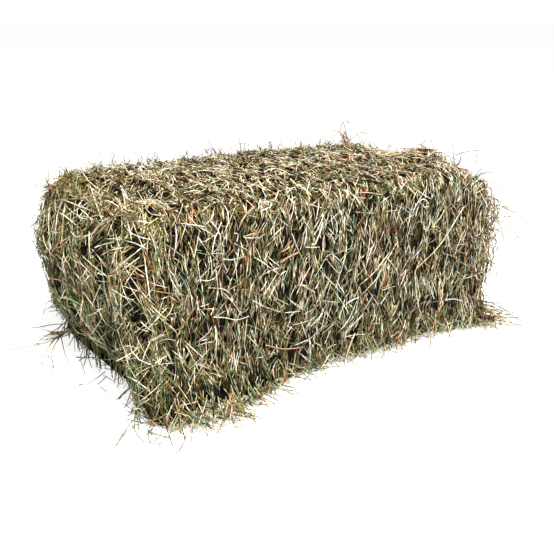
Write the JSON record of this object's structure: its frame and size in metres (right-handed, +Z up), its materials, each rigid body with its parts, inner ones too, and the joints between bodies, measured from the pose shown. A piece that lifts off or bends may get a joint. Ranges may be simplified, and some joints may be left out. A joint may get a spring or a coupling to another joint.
{
  "type": "square hay bale",
  "caption": "Rectangular bale of pressed hay flakes standing on edge, tied lengthwise with baling twine, with loose stalks at its edges.",
  "frame": {"origin": "middle of the bale's flat underside, on the face of flake_06", "axes": "+X along the bale's length, +Z up, the long front side at -Y"},
  "size_m": [1.159, 0.766, 0.4454],
  "materials": {
    "hay": "matte, fibrous",
    "twine": "matte, twisted fibre",
    "loose_hay": "matte, fibrous"
  },
  "bodies": {
    "root": {"flake_01": "hay", "flake_02": "hay", "flake_03": "hay", "flake_04": "hay", "flake_05": "hay", "flake_06": "hay", "flake_07": "hay", "flake_08": "hay", "flake_09": "hay", "flake_10": "hay", "flake_11": "hay", "flake_12": "hay", "twine_front": "twine", "twine_back": "twine", "loose_tuft_corner": "loose_hay", "loose_tuft_left": "loose_hay", "loose_tuft_right": "loose_hay", "loose_tuft_foot": "loose_hay", "loose_curl_top": "loose_hay"}
  },
  "joints": []
}
